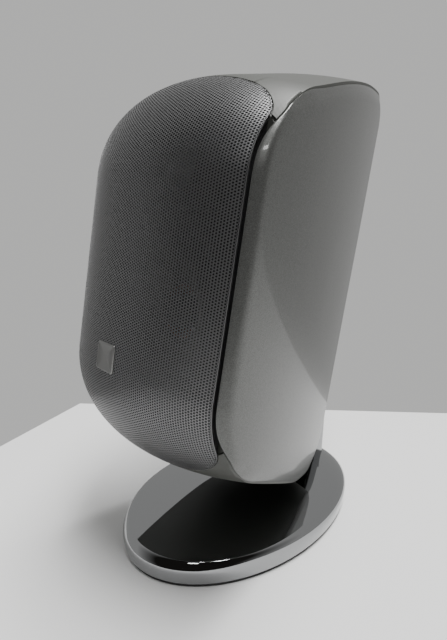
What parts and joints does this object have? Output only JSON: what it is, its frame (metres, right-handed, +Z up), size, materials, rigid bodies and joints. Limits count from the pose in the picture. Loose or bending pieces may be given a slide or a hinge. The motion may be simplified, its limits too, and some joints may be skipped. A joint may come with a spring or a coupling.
{
  "type": "satellite loudspeaker",
  "caption": "Compact two-way satellite loudspeaker with a wrap-round perforated grille, tapering side panels and a vented cabinet tilting on an oval polished table stand.",
  "frame": {"origin": "centre of the oval base's underside, on the table", "axes": "+Z up, the grille faces -Y, +X to the right of someone looking at the grille"},
  "size_m": [0.114, 0.1827, 0.244],
  "materials": {
    "grille_metal": "satin silver-grey lacquer",
    "black_plastic": "fine matt",
    "badge_metal": "satin",
    "panel_silver": "silver metallic lacquer, gloss",
    "spine_grey": "matt grey",
    "cast_alloy": "cast",
    "screw_steel": "plated",
    "soft_rubber": "matt",
    "woven_cone": "woven",
    "copper_winding": "enamelled winding",
    "treated_cloth": "treated cloth",
    "plated_steel": "plated",
    "ferrite": "ground",
    "dome_metal": "anodised",
    "contact_brass": "plated",
    "button_red": "gloss",
    "button_black": "gloss",
    "board_green": "solder mask",
    "capacitor_film": "film",
    "resistor_body": "matt",
    "lead_jacket": "sleeve",
    "wadding": "fibre",
    "washer_nylon": "nylon",
    "polished_chrome": "mirror",
    "ballast_iron": "painted",
    "foot_rubber": "matt"
  },
  "bodies": {
    "stand": {"base_plate": "polished_chrome", "stand_arm": "polished_chrome", "arm_screws": "screw_steel", "base_ballast": "ballast_iron", "foot_pad": "foot_rubber", "base_cover": "black_plastic"},
    "cabinet": {"grille": "grille_metal", "grille_frame": "black_plastic", "badge": "badge_metal", "side_panel_left": "panel_silver", "side_panel_right": "panel_silver", "cabinet_shell": "spine_grey", "baffle": "black_plastic", "woofer_basket": "cast_alloy", "woofer_screws": "screw_steel", "woofer_trim_ring": "black_plastic", "woofer_surround": "soft_rubber", "woofer_phase_plug": "black_plastic", "woofer_spider": "treated_cloth", "woofer_top_plate": "plated_steel", "woofer_magnet": "ferrite", "woofer_back_plate": "plated_steel", "tweeter_faceplate": "black_plastic", "tweeter_screws": "screw_steel", "tweeter_motor": "plated_steel", "tweeter_tube": "cast_alloy", "port_tube": "black_plastic", "terminal_plate": "black_plastic", "terminal_screws": "screw_steel", "terminal_springs": "screw_steel", "terminal_contacts": "contact_brass", "crossover_board": "board_green", "crossover_inductor": "copper_winding", "crossover_capacitors": "capacitor_film", "crossover_resistor": "resistor_body", "crossover_posts": "black_plastic", "lead_input": "lead_jacket", "lead_tweeter": "lead_jacket", "damping_wadding": "wadding", "pivot_pin": "screw_steel", "friction_washers": "washer_nylon"},
    "woofer_diaphragm": {"woofer_cone": "woven_cone", "woofer_voice_coil": "copper_winding"},
    "tweeter_diaphragm": {"tweeter_dome": "dome_metal"},
    "button_positive": {"terminal_button_positive": "button_red"},
    "button_negative": {"terminal_button_negative": "button_black"}
  },
  "joints": [
    {"name": "cabinet_tilt", "type": "hinge", "parent": "stand", "child": "cabinet", "pos_m": [0, 0.0476, 0.0618], "axis": [1, 0, 0], "range_deg": [-8, 12]},
    {"name": "woofer_stroke", "type": "slide", "parent": "cabinet", "child": "woofer_diaphragm", "axis": [0, -0.9842, 0.1771], "range_m": [-0.003, 0.003], "stiffness_N_per_m": 1200, "deforming": ["woofer_surround", "woofer_spider"]},
    {"name": "tweeter_stroke", "type": "slide", "parent": "cabinet", "child": "tweeter_diaphragm", "axis": [0, -0.9842, 0.1771], "range_m": [-0.0003, 0.0003], "stiffness_N_per_m": 600},
    {"name": "positive_press", "type": "slide", "parent": "cabinet", "child": "button_positive", "axis": [0, -0.9842, 0.1771], "range_m": [0, 0.003], "stiffness_N_per_m": 800, "springref_m": -0.0015, "deforming": ["terminal_springs"]},
    {"name": "negative_press", "type": "slide", "parent": "cabinet", "child": "button_negative", "axis": [0, -0.9842, 0.1771], "range_m": [0, 0.003], "stiffness_N_per_m": 800, "springref_m": -0.0015, "deforming": ["terminal_springs"]}
  ]
}
